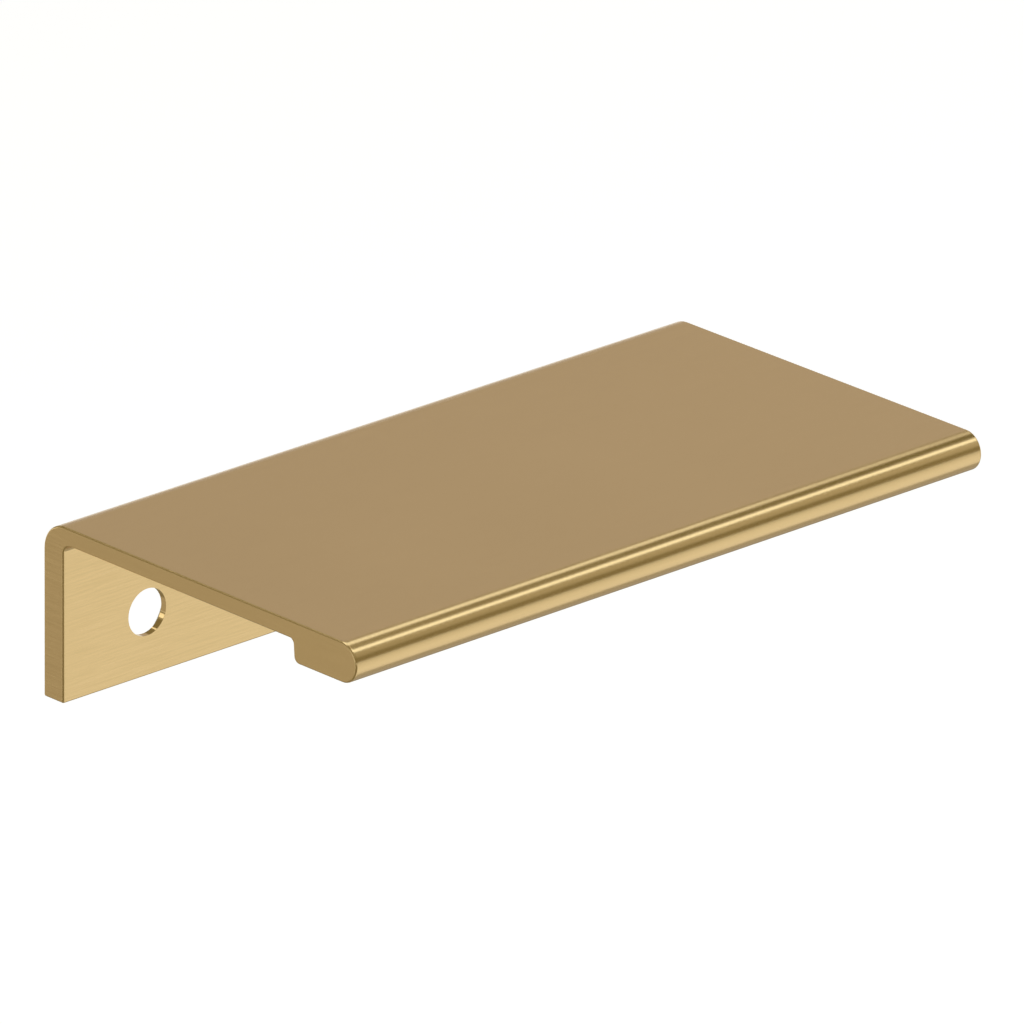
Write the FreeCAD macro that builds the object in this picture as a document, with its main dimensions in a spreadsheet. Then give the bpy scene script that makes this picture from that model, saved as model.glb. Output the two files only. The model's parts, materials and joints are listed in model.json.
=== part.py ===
import FreeCAD, Part
import math
import os

import Sketcher

# Tab pull: one metal section with a back flange, a flat top plate and a thicker front lip.
# The flange hangs behind a drawer front or door, the plate lies over its edge and the lip is
# what the fingers pull.
# Frame: X along the length, -Y towards the lip, +Z up. The origin is midway between the screw
# holes, on the seat, which is the flange's front face.

# Driving dimensions, in millimetres and degrees
SIZES = {
    "length": 76.2,
    "flange_thickness": 2.6,
    "flange_height": 16.85,
    "plate_thickness": 1.65,
    "reach": 38.15,
    "lip_height": 3.8,
    "lip_depth": 8.2,
    "lip_lean": 4.4,
    "bend_outer_radius": 2.65,
    "bend_inner_radius": 1.0,
    "lip_root_radius": 0.5,
    "lip_corner_radius": 0.65,
    "edge_radius": 0.2,
    "hole_spacing": 56.2,
    "hole_diameter": 4.5,
    "hole_rise": 6.1,
    "countersink_diameter": 8.4,
    "countersink_angle": 90.0,
}

# Lines and arcs of the section, in their order round the outline, and the lip's sharp root
(OUTER, OUTER_BEND, TOP, NOSE, LIP_UNDER, LIP_CORNER, LIP_BACK,
 LIP_ROOT, UNDER, INNER_BEND, SEAT, FOOT, LIP_ROOT_POINT) = range(13)

# Point numbers that a sketch constraint uses, and the sketch's own axes and origin
START, END, CENTRE = range(1, 4)
HORIZONTAL_AXIS, VERTICAL_AXIS = range(-1, -3, -1)
ORIGIN = (HORIZONTAL_AXIS, START)


def make_sheet(doc):
    """Put the driving dimensions in a sheet, one named cell each."""
    sheet = doc.addObject("Spreadsheet::Sheet", "Sizes")
    for row, (name, value) in enumerate(SIZES.items(), start=1):
        sheet.set(f"A{row}", name)
        sheet.set(f"B{row}", str(value))
        sheet.setAlias(f"B{row}", name)
    doc.recompute()
    return sheet


def origin_plane(body, role):
    """The body's own origin plane with this role."""
    return next(plane for plane in body.Origin.OriginFeatures if plane.Role == role)


def add_sketch(body, name, plane_role):
    """A sketch on one of the body's origin planes."""
    sketch = body.newObject("Sketcher::SketchObject", name)
    sketch.AttachmentSupport = [(origin_plane(body, plane_role), "")]
    sketch.MapMode = "FlatFace"
    return sketch


def bind_size(sketch, name, constraint, expression):
    """Add a sketch dimension and tie it to the sheet."""
    index = sketch.addConstraint(constraint)
    sketch.renameConstraint(index, name)
    sketch.setExpression(f"Constraints.{name}", expression)


def corner_arc(before, corner, after, radius):
    """The arc that rounds a corner, and the points where it leaves the two sides."""
    into = (before - corner).normalize()
    out = (after - corner).normalize()
    half_angle = into.getAngle(out) / 2
    setback = radius / math.tan(half_angle)
    first = corner + into * setback
    last = corner + out * setback
    centre = corner + (into + out).normalize() * (radius / math.sin(half_angle))
    is_convex = into.cross(out).z < 0
    arc_start, arc_end = (first, last) if is_convex else (last, first)
    circle = Part.Circle(centre, FreeCAD.Vector(0, 0, 1), radius)
    arc = Part.ArcOfCircle(circle, circle.parameter(arc_start), circle.parameter(arc_end))
    return arc, first, last


def draw_section(sketch, size):
    """Draw the section's lines and arcs where the sizes put them."""
    def point(y, z):
        return FreeCAD.Vector(y, z, 0)

    foot = -size["hole_rise"]
    top = foot + size["flange_height"]
    under = top - size["plate_thickness"]
    lip_under = top - size["lip_height"]
    nose_radius = size["lip_height"] / 2
    nose_centre = point(nose_radius - size["reach"], top - nose_radius)
    lip_back = size["lip_depth"] - size["reach"]
    lean_offset = (under - lip_under) * math.tan(math.radians(size["lip_lean"]))

    foot_outer = point(size["flange_thickness"], foot)
    bend_outer = point(size["flange_thickness"], top)
    nose_top = point(nose_centre.x, top)
    nose_under = point(nose_centre.x, lip_under)
    lip_corner = point(lip_back - lean_offset, lip_under)
    lip_root = point(lip_back, under)
    bend_inner = point(0, under)
    foot_inner = point(0, foot)

    outer_bend = corner_arc(foot_outer, bend_outer, nose_top, size["bend_outer_radius"])
    corner = corner_arc(nose_under, lip_corner, lip_root, size["lip_corner_radius"])
    root = corner_arc(lip_corner, lip_root, bend_inner, size["lip_root_radius"])
    inner_bend = corner_arc(lip_root, bend_inner, foot_inner, size["bend_inner_radius"])
    nose_circle = Part.Circle(nose_centre, FreeCAD.Vector(0, 0, 1), nose_radius)
    nose = Part.ArcOfCircle(nose_circle, math.pi / 2, 3 * math.pi / 2)

    outline = {
        OUTER: Part.LineSegment(foot_outer, outer_bend[1]),
        OUTER_BEND: outer_bend[0],
        TOP: Part.LineSegment(outer_bend[2], nose_top),
        NOSE: nose,
        LIP_UNDER: Part.LineSegment(nose_under, corner[1]),
        LIP_CORNER: corner[0],
        LIP_BACK: Part.LineSegment(corner[2], root[1]),
        LIP_ROOT: root[0],
        UNDER: Part.LineSegment(root[2], inner_bend[1]),
        INNER_BEND: inner_bend[0],
        SEAT: Part.LineSegment(inner_bend[2], foot_inner),
        FOOT: Part.LineSegment(foot_inner, foot_outer),
    }
    for index in range(len(outline)):
        sketch.addGeometry(outline[index], False)
    sketch.addGeometry(Part.Point(lip_root), True)


def constrain_section(sketch, size):
    """Hold the section with tangents and with dimensions from the sheet."""
    def join(kind, first, first_end, second, second_end):
        sketch.addConstraint(Sketcher.Constraint(kind, first, first_end, second, second_end))

    convex_rounds = ((OUTER, OUTER_BEND, TOP), (TOP, NOSE, LIP_UNDER), (LIP_UNDER, LIP_CORNER, LIP_BACK))
    concave_rounds = ((LIP_BACK, LIP_ROOT, UNDER), (UNDER, INNER_BEND, SEAT))
    for before, arc, after in convex_rounds:
        join("Tangent", before, END, arc, START)
        join("Tangent", arc, END, after, START)
    for before, arc, after in concave_rounds:
        join("Tangent", before, END, arc, END)
        join("Tangent", arc, START, after, START)
    join("Coincident", SEAT, END, FOOT, START)
    join("Coincident", FOOT, END, OUTER, START)
    for line in (TOP, LIP_UNDER, UNDER, FOOT):
        sketch.addConstraint(Sketcher.Constraint("Horizontal", line))
    for line in (OUTER, SEAT):
        sketch.addConstraint(Sketcher.Constraint("Vertical", line))
    sketch.addConstraint(Sketcher.Constraint("PointOnObject", SEAT, END, VERTICAL_AXIS))
    for line in (LIP_BACK, UNDER):
        sketch.addConstraint(Sketcher.Constraint("PointOnObject", LIP_ROOT_POINT, START, line))

    spans = (
        ("flange_thickness", "DistanceX", (FOOT, START), (FOOT, END), "Sizes.flange_thickness"),
        ("hole_rise", "DistanceY", (FOOT, START), ORIGIN, "Sizes.hole_rise"),
        ("flange_height", "DistanceY", (FOOT, START), (TOP, END), "Sizes.flange_height"),
        ("plate_thickness", "DistanceY", (UNDER, END), (TOP, START), "Sizes.plate_thickness"),
        ("lip_height", "DistanceY", (LIP_UNDER, START), (TOP, END), "Sizes.lip_height"),
        ("reach", "DistanceX", (NOSE, CENTRE), (SEAT, END), "Sizes.reach - Sizes.lip_height / 2"),
        ("lip_depth", "DistanceX", (NOSE, CENTRE), (LIP_ROOT_POINT, START),
         "Sizes.lip_depth - Sizes.lip_height / 2"),
    )
    nose_radius = size["lip_height"] / 2
    drawn = dict(size, reach=size["reach"] - nose_radius, lip_depth=size["lip_depth"] - nose_radius)
    for name, kind, first, second, expression in spans:
        bind_size(sketch, name, Sketcher.Constraint(kind, *first, *second, drawn[name]), expression)

    rounds = (
        ("bend_outer_radius", OUTER_BEND),
        ("bend_inner_radius", INNER_BEND),
        ("lip_root_radius", LIP_ROOT),
        ("lip_corner_radius", LIP_CORNER),
    )
    for name, arc in rounds:
        bind_size(sketch, name, Sketcher.Constraint("Radius", arc, size[name]), f"Sizes.{name}")
    lean = math.radians(90 - size["lip_lean"])
    bind_size(sketch, "lip_lean", Sketcher.Constraint("Angle", LIP_BACK, lean), "90 - Sizes.lip_lean")


def face_names(shape, faces):
    """The names of some of a shape's faces."""
    return [f"Face{index}" for index, face in enumerate(shape.Faces, start=1)
            if any(face.isSame(wanted) for wanted in faces)]


def cut_faces(shape):
    """The two ends and the foot of the flange, whose edges are broken."""
    ends = (min(shape.Faces, key=lambda face: face.CenterOfMass.x),
            max(shape.Faces, key=lambda face: face.CenterOfMass.x))
    foot = min(shape.Faces, key=lambda face: face.CenterOfMass.z)
    return (*ends, foot)


def add_section_bar(doc, body, size):
    """The section, run along the length, with the cut edges broken."""
    section = add_sketch(body, "Section", "YZ_Plane")
    draw_section(section, size)
    constrain_section(section, size)
    bar = body.newObject("PartDesign::Pad", "Bar")
    bar.Profile = section
    bar.SideType = "Symmetric"
    bar.setExpression("Length", "Sizes.length")
    doc.recompute()

    edges = body.newObject("PartDesign::Fillet", "BrokenEdges")
    edges.Base = (bar, face_names(bar.Shape, cut_faces(bar.Shape)))
    edges.setExpression("Radius", "Sizes.edge_radius")
    doc.recompute()
    return edges


def add_screw_holes(doc, body, size):
    """Two screw holes through the flange, countersunk on its back face."""
    centres = add_sketch(body, "HoleCentres", "XZ_Plane")
    centres.setExpression("AttachmentOffset.Base.z", "-Sizes.flange_thickness")
    radius = size["hole_diameter"] / 2
    left, right = [
        centres.addGeometry(
            Part.Circle(FreeCAD.Vector(side * size["hole_spacing"] / 2, 0, 0), FreeCAD.Vector(0, 0, 1), radius),
            False)
        for side in (-1, 1)
    ]
    centres.addConstraint(Sketcher.Constraint("Equal", left, right))
    centres.addConstraint(Sketcher.Constraint("Symmetric", left, CENTRE, right, CENTRE, VERTICAL_AXIS))
    centres.addConstraint(Sketcher.Constraint("PointOnObject", left, CENTRE, HORIZONTAL_AXIS))
    spacing = Sketcher.Constraint("DistanceX", left, CENTRE, right, CENTRE, size["hole_spacing"])
    bind_size(centres, "hole_spacing", spacing, "Sizes.hole_spacing")
    diameter = Sketcher.Constraint("Diameter", left, size["hole_diameter"])
    bind_size(centres, "hole_diameter", diameter, "Sizes.hole_diameter")
    doc.recompute()

    holes = body.newObject("PartDesign::Hole", "ScrewHoles")
    holes.Profile = centres
    holes.Reversed = True
    holes.DepthType = "ThroughAll"
    holes.HoleCutType = "Countersink"
    holes.HoleCutCustomValues = True
    holes.setExpression("Diameter", "Sizes.hole_diameter")
    holes.setExpression("HoleCutDiameter", "Sizes.countersink_diameter")
    holes.setExpression("HoleCutCountersinkAngle", "Sizes.countersink_angle")
    doc.recompute()
    return holes


def check_document(doc, body, solid, holes):
    """Stop if a feature failed, the body isn't one sound solid or the holes took nothing away."""
    for item in doc.Objects:
        if "Invalid" in item.State or "Error" in item.State:
            raise RuntimeError(f"{item.Label} did not build: {item.State}")
    shape = body.Shape
    if shape.isNull() or not shape.isValid() or len(shape.Solids) != 1:
        raise RuntimeError(f"{body.Label} is not one valid solid")
    if holes.Shape.Volume >= solid.Shape.Volume:
        raise RuntimeError("the screw holes miss the flange")


def main():
    doc = FreeCAD.newDocument("TabPull")
    sheet = make_sheet(doc)
    size = {name: float(sheet.get(name)) for name in SIZES}
    body = doc.addObject("PartDesign::Body", "Body")
    body.Label = "tab_pull"
    solid = add_section_bar(doc, body, size)
    holes = add_screw_holes(doc, body, size)
    body.Tip = holes
    doc.recompute()
    check_document(doc, body, solid, holes)
    os.makedirs("parts", exist_ok=True)
    body.Shape.exportStep(f"parts/{body.Label}.step")


main()
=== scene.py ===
import json
import math

import bpy
from mathutils import Matrix, Vector

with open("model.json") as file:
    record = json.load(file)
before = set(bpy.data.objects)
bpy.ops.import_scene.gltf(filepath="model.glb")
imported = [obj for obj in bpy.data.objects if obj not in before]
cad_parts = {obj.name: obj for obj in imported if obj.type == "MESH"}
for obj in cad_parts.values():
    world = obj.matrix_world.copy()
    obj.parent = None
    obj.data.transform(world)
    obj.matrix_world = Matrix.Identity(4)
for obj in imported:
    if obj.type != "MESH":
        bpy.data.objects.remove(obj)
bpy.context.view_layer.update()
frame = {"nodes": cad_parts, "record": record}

# Camera at the photograph's viewing angle, in metres and degrees
CAMERA_AZIMUTH = -43.40
CAMERA_ELEVATION = 21.55
CAMERA_ROLL = 0.58
CAMERA_DISTANCE = 1.4794
CAMERA_AIM = Vector((0.00775, -0.00906, 0.00277))
CAMERA_NEAR = 0.05
CAMERA_FAR = 50.0
LENS_MM = 579.8
SENSOR_MM = 36.0

# Floor, in metres and degrees from +X: round, pale, well below the part, with a low wall on its rim.
# The wall is lower in front, where the dim room above it gives the nose its dark stripe and dark ends.
FLOOR_Z = -0.25
FLOOR_RADIUS = 2.85
FULL_TURN = 360
RIM_STEP = 5
BACK_START = -30
BACK_END = 185
BACK_TOP = 0.15
FRONT_TOP = -0.05
FLOOR_COLOUR = (0.6, 0.6, 0.6, 1.0)
FLOOR_ROUGHNESS = 0.9
FLOOR_GLOW = 0.725
FLOOR_GLOW_COLOUR = (0.97, 0.99, 1.03, 1.0)

# Light: the dim room, the lamps' tints, and the cards' glow colours and height. The cards glow and are
# lit by nothing: painted shade that only the metal mirrors, dimmer than what they hide.
ROOM_COLOUR = (1.0, 0.875, 0.5, 1.0)
ROOM_STRENGTH = 0.28
WHITE = (1.0, 1.0, 1.0)
COOL_FRONT = (0.82, 0.89, 1.0)
COOL_REAR = (0.84, 0.90, 1.0)
LILAC = (0.80, 0.74, 0.91)
CARD_Z = -0.2
CARD_SHADE_BEIGE = (0.538, 0.495, 0.416)
CARD_SHADE_GREY = (0.48, 0.46, 0.41)
CARD_SHADE_DIM = (0.30, 0.27, 0.18)
CARD_SHADE_DARK = (0.10, 0.08, 0.0)
BLACK = (0.0, 0.0, 0.0, 1.0)

# Satin brass: linear colours, and roughness where the grain is lowest and highest
BRASS_DARK = (0.655, 0.478, 0.228, 1.0)
BRASS_LIGHT = (0.725, 0.532, 0.262, 1.0)
SATIN_SMOOTH = 0.21
SATIN_ROUGH = 0.28
BORE_ROUGHNESS = 0.11

# Grain: lines per metre along and across it, its height in metres, and how far it swings about its middle
GRAIN_ALONG = 160.0
GRAIN_ACROSS = 5200.0
GRAIN_HEIGHT = 2e-6
GRAIN_DETAIL = 3.0
GRAIN_ROUGHNESS = 0.6
NOISE_MIDDLE = 0.5
STREAK_SWING = 0.15
SATIN_SWING = 0.2

# Slow drift of tone: its scale per metre, the noise it is read from, and how far it shifts the streaks
TONE_SCALE = 38.0
TONE_DETAIL = 1.0
TONE_NOISE = (0.3, 0.7)
TONE_DRIFT = (-0.15, 0.15)

# The grain turns on the ends, told by the normal's X. It is fainter on the show faces than on the flange,
# and grows between two depths in Y, in metres, just in front of the seat.
END_NORMAL = (0.80, 0.95)
SHOW_FACE_GRAIN = 0.3
GRAIN_GROWS = (-0.0006, -0.0001)

# Screw holes, in metres: their place from the record, a reach just past the countersink's rim,
# and how far behind the seat their walls begin
MM = 0.001
HOLES = next(mount for mount in frame["record"]["mounts"] if mount["name"] == "screw_holes")
HOLE_X = HOLES["dims"]["spacing_x_mm"] * MM / 2
HOLE_REACH = 0.00421
HOLE_LIP = 0.00005


def add_node(tree, kind, inputs, **settings):
    """A shader node with its settings. Each input is a value or the socket that feeds it."""
    node = tree.nodes.new(kind)
    for name, value in settings.items():
        setattr(node, name, value)
    set_inputs(tree, node, inputs)
    return node


def set_inputs(tree, node, inputs):
    for name, value in inputs.items():
        if isinstance(value, bpy.types.NodeSocket):
            tree.links.new(value, node.inputs[name])
        else:
            node.inputs[name].default_value = value


def add_math(tree, operation, first, second=0.0):
    return add_node(tree, "ShaderNodeMath", {0: first, 1: second}, operation=operation).outputs["Value"]


def add_mix(tree, factor, first, second):
    node = add_node(tree, "ShaderNodeMix", {"Factor": factor, 2: first, 3: second}, data_type="FLOAT")
    return node.outputs[0]


def add_colour_mix(tree, factor, first, second):
    node = add_node(tree, "ShaderNodeMix", {"Factor": factor, 6: first, 7: second}, data_type="RGBA")
    return node.outputs[2]


def add_range(tree, value, low, high, out_low, out_high):
    sockets = {"Value": value, "From Min": low, "From Max": high, "To Min": out_low, "To Max": out_high}
    return add_node(tree, "ShaderNodeMapRange", sockets).outputs["Result"]


def split(tree, vector):
    return add_node(tree, "ShaderNodeSeparateXYZ", {"Vector": vector}).outputs


def new_material(name):
    """A material, its node tree and its shader."""
    material = bpy.data.materials.new(name)
    material.use_nodes = True
    return material, material.node_tree, material.node_tree.nodes["Principled BSDF"]


def add_scratches(tree, place, stretch):
    """Fine scratches: noise drawn out along one axis."""
    lines = add_node(tree, "ShaderNodeMapping", {"Vector": place, "Scale": stretch}).outputs["Vector"]
    sockets = {"Vector": lines, "Scale": 1.0, "Detail": GRAIN_DETAIL, "Roughness": GRAIN_ROUGHNESS}
    return add_node(tree, "ShaderNodeTexNoise", sockets).outputs["Fac"]


def add_grain(tree, coordinates):
    """Scratches along the length, across it on the two ends, and fainter on the show faces."""
    place = coordinates["Object"]
    along = add_scratches(tree, place, (GRAIN_ALONG, GRAIN_ACROSS, GRAIN_ACROSS))
    across = add_scratches(tree, place, (GRAIN_ACROSS, GRAIN_ALONG, GRAIN_ACROSS))
    facing_x = add_math(tree, "ABSOLUTE", split(tree, coordinates["Normal"])["X"])
    on_end = add_range(tree, facing_x, *END_NORMAL, 0.0, 1.0)
    swing = add_math(tree, "SUBTRACT", add_mix(tree, on_end, along, across), NOISE_MIDDLE)
    depth = add_range(tree, split(tree, place)["Y"], *GRAIN_GROWS, SHOW_FACE_GRAIN, 1.0)
    return add_math(tree, "MULTIPLY", swing, depth)


def add_hole_mask(tree, place):
    """1 on the walls of the two screw holes, and 0 elsewhere."""
    parts = split(tree, place)
    from_axis = add_math(tree, "SUBTRACT", add_math(tree, "ABSOLUTE", parts["X"]), HOLE_X)
    flat = add_node(tree, "ShaderNodeCombineXYZ", {"X": from_axis, "Z": parts["Z"]}).outputs["Vector"]
    radius = add_node(tree, "ShaderNodeVectorMath", {0: flat}, operation="LENGTH").outputs["Value"]
    near_axis = add_math(tree, "LESS_THAN", radius, HOLE_REACH)
    in_flange = add_math(tree, "GREATER_THAN", parts["Y"], HOLE_LIP)
    return add_math(tree, "MULTIPLY", near_axis, in_flange)


def make_brass():
    """Satin brass with a brushed grain, smooth inside the screw holes."""
    material, tree, shader = new_material("satin_brass")
    coordinates = tree.nodes.new("ShaderNodeTexCoord").outputs
    place = coordinates["Object"]
    grain = add_grain(tree, coordinates)
    in_hole = add_hole_mask(tree, place)

    sockets = {"Vector": place, "Scale": TONE_SCALE, "Detail": TONE_DETAIL}
    cloud = add_node(tree, "ShaderNodeTexNoise", sockets).outputs["Fac"]
    drift = add_range(tree, cloud, *TONE_NOISE, *TONE_DRIFT)
    streak = add_range(tree, grain, -STREAK_SWING, STREAK_SWING, 0.0, 1.0)
    tone = add_math(tree, "ADD", streak, drift)
    satin = add_range(tree, grain, -SATIN_SWING, SATIN_SWING, SATIN_SMOOTH, SATIN_ROUGH)
    height = add_math(tree, "MULTIPLY", grain, add_math(tree, "SUBTRACT", 1.0, in_hole))
    bump = add_node(tree, "ShaderNodeBump", {"Strength": 1.0, "Distance": GRAIN_HEIGHT, "Height": height})
    set_inputs(tree, shader, {
        "Metallic": 1.0,
        "Base Color": add_colour_mix(tree, tone, BRASS_DARK, BRASS_LIGHT),
        "Roughness": add_mix(tree, in_hole, satin, BORE_ROUGHNESS),
        "Normal": bump.outputs["Normal"],
    })
    return material


def make_floor_white():
    """Matt floor that camera, glossy and transmission rays see brighter, so that it looks white."""
    material, tree, shader = new_material("floor_white")
    path = tree.nodes.new("ShaderNodeLightPath").outputs
    seen = add_math(tree, "MAXIMUM", path["Is Camera Ray"], path["Is Glossy Ray"])
    seen = add_math(tree, "MAXIMUM", seen, path["Is Transmission Ray"])
    set_inputs(tree, shader, {
        "Base Color": FLOOR_COLOUR,
        "Roughness": FLOOR_ROUGHNESS,
        "Specular IOR Level": 0.0,
        "Emission Color": FLOOR_GLOW_COLOUR,
        "Emission Strength": add_math(tree, "MULTIPLY", seen, FLOOR_GLOW),
    })
    return material


def add_mesh(name, points, faces, material):
    mesh = bpy.data.meshes.new(name)
    mesh.from_pydata(points, [], faces)
    mesh.materials.append(material)
    item = bpy.data.objects.new(name, mesh)
    bpy.context.scene.collection.objects.link(item)
    return item


def add_floor():
    turns = range(BACK_START, BACK_START + FULL_TURN, RIM_STEP)
    rim = [(FLOOR_RADIUS * math.cos(math.radians(turn)), FLOOR_RADIUS * math.sin(math.radians(turn)))
           for turn in turns]
    tops = [BACK_TOP if turn <= BACK_END else FRONT_TOP for turn in turns]
    foot = [(x, y, FLOOR_Z) for x, y in rim]
    head = [(x, y, top) for (x, y), top in zip(rim, tops)]
    count = len(rim)
    following = [(index + 1) % count for index in range(count)]
    wall = [(index, after, count + after, count + index) for index, after in enumerate(following)]
    floor = add_mesh("floor", foot + head, [tuple(range(count)), *wall], make_floor_white())


def along_part(angle, distance, middle):
    """Place for a lamp or card that runs along X, at an angle above the lip's side of the horizon."""
    out = Vector((0.0, -math.cos(math.radians(angle)), math.sin(math.radians(angle))))
    axis = Vector((1.0, 0.0, 0.0))
    turn = Matrix((axis, out.cross(axis), out)).transposed()
    return Matrix.Translation(out * distance + axis * middle) @ turn.to_4x4()


def facing(position, target=(0.0, 0.0, 0.0)):
    """Place for a lamp or card at one point that faces another."""
    turn = (Vector(target) - Vector(position)).to_track_quat("-Z", "Y")
    return Matrix.Translation(Vector(position)) @ turn.to_matrix().to_4x4()


def lying(x, y):
    """Place for a card that lies level between the part and the floor."""
    return Matrix.Translation((x, y, CARD_Z))


def add_lamp(name, place, length, width, radiance, colour=WHITE):
    """A rectangular softbox with this radiance. It shines along the -Z of its place."""
    data = bpy.data.lights.new(name, "AREA")
    data.shape = "RECTANGLE"
    data.size = length
    data.size_y = width
    data.energy = radiance * math.pi * length * width
    data.color = colour
    lamp = bpy.data.objects.new(name, data)
    lamp.matrix_world = place
    lamp.visible_camera = False
    bpy.context.scene.collection.objects.link(lamp)


def add_card(name, place, length, width, colour):
    """A card that only the metal mirrors, and that hides what is behind it. It glows with its colour and
    is lit by nothing: painted shade, dimmer than what it hides.
    """
    material, tree, shader = new_material(name)
    set_inputs(tree, shader, {
        "Base Color": BLACK,
        "Specular IOR Level": 0.0,
        "Emission Color": (*colour, 1.0),
        "Emission Strength": 1.0,
    })
    x, y = length / 2, width / 2
    card = add_mesh(name, [(-x, -y, 0), (x, -y, 0), (x, y, 0), (-x, y, 0)], [(0, 1, 2, 3)], material)
    card.matrix_world = place
    card.visible_camera = False
    card.visible_diffuse = False
    card.visible_shadow = False


def add_room():
    world = bpy.data.worlds.new("studio")
    world.use_nodes = True
    background = world.node_tree.nodes["Background"]
    background.inputs["Color"].default_value = ROOM_COLOUR
    background.inputs["Strength"].default_value = ROOM_STRENGTH
    bpy.context.scene.world = world


def add_lamps():
    # The nose mirrors the two strips and the front panel as stripes, and the plate mirrors the rear panel
    add_lamp("strip_front", along_part(angle=62.5, distance=0.8, middle=0.4),
             length=1.6, width=0.23, radiance=1.85, colour=COOL_FRONT)
    add_lamp("strip_rear", along_part(angle=114, distance=0.8, middle=0.0),
             length=1.44, width=0.32, radiance=1.53, colour=COOL_REAR)
    add_lamp("panel_front", along_part(angle=36.5, distance=0.85, middle=0.93),
             length=0.7, width=0.38, radiance=0.34)
    add_lamp("panel_rear", along_part(angle=158, distance=0.9, middle=1.02),
             length=0.96, width=0.75, radiance=0.345, colour=LILAC)

    # Bright patches in the near screw hole
    add_lamp("spot_back", facing((-0.024, 0.544, 0.584)), length=0.07, width=0.07, radiance=1.4)
    add_lamp("glint_bore", facing((-0.0536, 0.0275, 0.0091), target=(-0.026, 0.0003, -0.0009)),
             length=0.006, width=0.010, radiance=1.2)

    # The plate mirrors these from other sides
    add_lamp("panel_fill", facing((-0.6, -0.65, 0.55)), length=0.44, width=0.44, radiance=0.3)
    add_lamp("panel_left", facing((-0.95, 0.0, 0.44)), length=0.4, width=0.35, radiance=0.3)
    add_lamp("panel_side", facing((-0.63, 0.63, 0.33)), length=0.26, width=0.22, radiance=0.16)
    add_lamp("panel_right", facing((1.0, 0.0, 0.47)), length=0.6, width=0.5, radiance=0.3)
    add_lamp("panel_facing", along_part(angle=36.5, distance=0.85, middle=0.0),
             length=0.3, width=0.3, radiance=0.3)
    add_lamp("panel_back", along_part(angle=155, distance=0.9, middle=0.0),
             length=0.4, width=0.28, radiance=0.3)

    # This lightens the near half of the dark line between the nose's two bright stripes
    add_lamp("panel_gap", along_part(angle=87, distance=0.8, middle=0.27),
             length=0.5, width=0.36, radiance=0.62)


def add_cards():
    # This darkens the far half of the line between the nose's two bright stripes
    add_card("card_gap", along_part(angle=87, distance=0.8, middle=1.0),
             length=0.68, width=0.36, colour=CARD_SHADE_DARK)

    # The near end mirrors card_left. The others darken the nose's underside and the part's edges.
    add_card("card_left", facing((-0.19, 0.204, -0.11)), length=0.24, width=0.24, colour=CARD_SHADE_BEIGE)
    add_card("card_under", lying(x=0.20, y=-0.008), length=0.50, width=0.215, colour=CARD_SHADE_GREY)
    add_card("card_behind", lying(x=0.175, y=0.30), length=0.55, width=0.40, colour=CARD_SHADE_DIM)
    add_card("card_front", lying(x=-0.775, y=-0.6), length=1.45, width=1.50, colour=CARD_SHADE_DIM)
    add_card("card_right", lying(x=0.64, y=-0.04), length=0.40, width=0.46, colour=CARD_SHADE_DIM)


def add_camera():
    azimuth = math.radians(CAMERA_AZIMUTH)
    elevation = math.radians(CAMERA_ELEVATION)
    roll = math.radians(CAMERA_ROLL)
    level = math.cos(elevation)
    back = Vector((math.sin(azimuth) * level, -math.cos(azimuth) * level, math.sin(elevation)))
    right = Vector((math.cos(azimuth), math.sin(azimuth), 0.0))
    up = back.cross(right)
    rolled_right = right * math.cos(roll) + up * math.sin(roll)
    rolled_up = up * math.cos(roll) - right * math.sin(roll)
    turn = Matrix((rolled_right, rolled_up, back)).transposed()
    data = bpy.data.cameras.new("camera")
    data.lens = LENS_MM
    data.sensor_width = SENSOR_MM
    data.sensor_fit = "HORIZONTAL"
    data.clip_start = CAMERA_NEAR
    data.clip_end = CAMERA_FAR
    camera = bpy.data.objects.new("camera", data)
    camera.matrix_world = Matrix.Translation(CAMERA_AIM + back * CAMERA_DISTANCE) @ turn.to_4x4()
    bpy.context.scene.collection.objects.link(camera)
    bpy.context.scene.camera = camera


brass = make_brass()
pull = frame["nodes"]["tab_pull"]
for slot in pull.material_slots:
    slot.material = brass
add_floor()
add_room()
add_lamps()
add_cards()
add_camera()
bpy.context.scene.view_settings.view_transform = "Standard"
